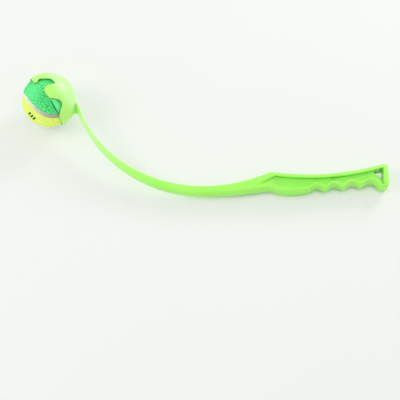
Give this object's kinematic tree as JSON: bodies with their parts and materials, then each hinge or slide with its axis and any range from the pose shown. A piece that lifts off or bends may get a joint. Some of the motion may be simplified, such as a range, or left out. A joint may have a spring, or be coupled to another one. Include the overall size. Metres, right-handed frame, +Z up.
{
  "type": "dog ball launcher",
  "caption": "One-piece moulded dog ball launcher with a clawed cup, a bowed shaft and a scalloped grip with a hang hole, holding a two-tone felt ball.",
  "frame": {"origin": "centre of the bounding box, on the surface that the launcher lies on", "axes": "+X along the launcher from the cup to the butt, +Y from the bow of the shaft to the back edge, +Z up from the surface"},
  "size_m": [0.4404, 0.1574, 0.0689],
  "materials": {
    "lime_plastic": "lime, lightly glossy, slightly translucent",
    "core_rubber": "plain grey moulded rubber",
    "green_felt": "brushed wool and nylon felt",
    "yellow_felt": "brushed wool and nylon felt",
    "seam_rubber": "pale matt seam cement"
  },
  "bodies": {
    "launcher": {"launcher": "lime_plastic"},
    "ball": {"ball_core_upper_half": "core_rubber", "ball_core_lower_half": "core_rubber", "green_felt_panel": "green_felt", "yellow_felt_panel": "yellow_felt", "ball_seam": "seam_rubber"}
  },
  "joints": [
    {"name": "ball_release", "type": "slide", "parent": "launcher", "child": "ball", "axis": [-0.787, -0.6152, -0.0474], "range_m": [0, 0.04]}
  ]
}
